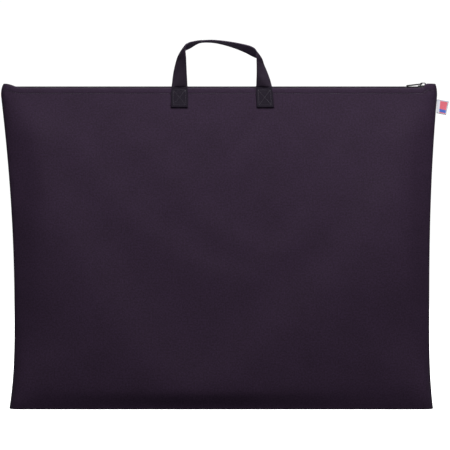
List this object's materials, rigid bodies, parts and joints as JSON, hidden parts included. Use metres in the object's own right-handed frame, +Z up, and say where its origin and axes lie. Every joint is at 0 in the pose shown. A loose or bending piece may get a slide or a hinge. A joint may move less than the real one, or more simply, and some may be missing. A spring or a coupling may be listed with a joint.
{
  "type": "portfolio case",
  "caption": "Soft-sided zipped portfolio case with webbing carry handles, for carrying drawings and boards.",
  "frame": {"origin": "centre of the flat bottom face, on the floor", "axes": "+X along the width to the right as seen from the front, -Y out of the front face, +Z up"},
  "size_m": [0.7134, 0.0859, 0.5839],
  "materials": {
    "coated_nylon": "fine plain weave, faint sheen",
    "webbing": "ribbed polyester webbing",
    "zip_tape": "fine herringbone tape",
    "zip_coil": "moulded nylon coil",
    "thread": "twisted polyester thread",
    "seam_tape": "grosgrain binding",
    "base_plastic": "fine textured sheet",
    "zip_metal": "black lacquer, worn at the edges",
    "label_cloth": "woven satin label"
  },
  "bodies": {
    "case": {"bottom_panel": "coated_nylon", "base_board": "base_plastic", "left_seam_binding": "seam_tape", "right_seam_binding": "seam_tape", "zipper_bottom_stop": "zip_metal", "zipper_top_stops": "zip_metal"},
    "front_wall": {"front_panel": "coated_nylon", "front_topstitch": "thread", "front_zipper_tape": "zip_tape", "front_zipper_coil": "zip_coil", "front_left_anchor": "webbing", "front_right_anchor": "webbing", "front_anchor_stitching": "thread", "front_backing_patches": "coated_nylon"},
    "back_wall": {"back_panel": "coated_nylon", "back_topstitch": "thread", "back_zipper_tape": "zip_tape", "back_zipper_coil": "zip_coil", "back_left_anchor": "webbing", "back_right_anchor": "webbing", "back_anchor_stitching": "thread", "back_backing_patches": "coated_nylon"},
    "zip_slider": {"slider_body": "zip_metal"},
    "zip_pull": {"pull_tab": "zip_metal"},
    "front_carry_handle": {"front_handle": "webbing"},
    "back_carry_handle": {"back_handle": "webbing"},
    "label": {"side_label": "label_cloth"}
  },
  "joints": [
    {"name": "zip_slide", "type": "slide", "parent": "case", "child": "zip_slider", "axis": [-1, 0, 0], "range_m": [0, 0.64]},
    {"name": "front_wall_open", "type": "hinge", "parent": "case", "child": "front_wall", "pos_m": [0, -0.023, 0], "axis": [1, 0, 0], "range_deg": [0, 5], "deforming": ["front_zipper_tape", "front_zipper_coil"]},
    {"name": "back_wall_open", "type": "hinge", "parent": "case", "child": "back_wall", "pos_m": [0, 0.023, 0], "axis": [-1, 0, 0], "range_deg": [0, 5], "deforming": ["back_zipper_tape", "back_zipper_coil"]},
    {"name": "pull_tab_flip", "type": "hinge", "parent": "zip_slider", "child": "zip_pull", "pos_m": [0.31845, 0, 0.5164], "axis": [0, 1, 0], "range_deg": [0, 165]},
    {"name": "front_handle_fold", "type": "hinge", "parent": "front_wall", "child": "front_carry_handle", "pos_m": [0, -0.0124, 0.5104], "axis": [1, 0, 0], "range_deg": [0, 150]},
    {"name": "back_handle_lift", "type": "hinge", "parent": "back_wall", "child": "back_carry_handle", "pos_m": [0, 0.0124, 0.5104], "axis": [1, 0, 0], "range_deg": [0, 150]},
    {"name": "label_bend", "type": "hinge", "parent": "case", "child": "label", "pos_m": [0.3427, 0, 0.481], "axis": [0, 0, 1], "range_deg": [-70, 70]}
  ],
  "couplings": [
    {"joint": "front_wall_open", "follows": "zip_slide", "rad_per_m": 0.13635},
    {"joint": "back_wall_open", "follows": "zip_slide", "rad_per_m": 0.13635}
  ]
}
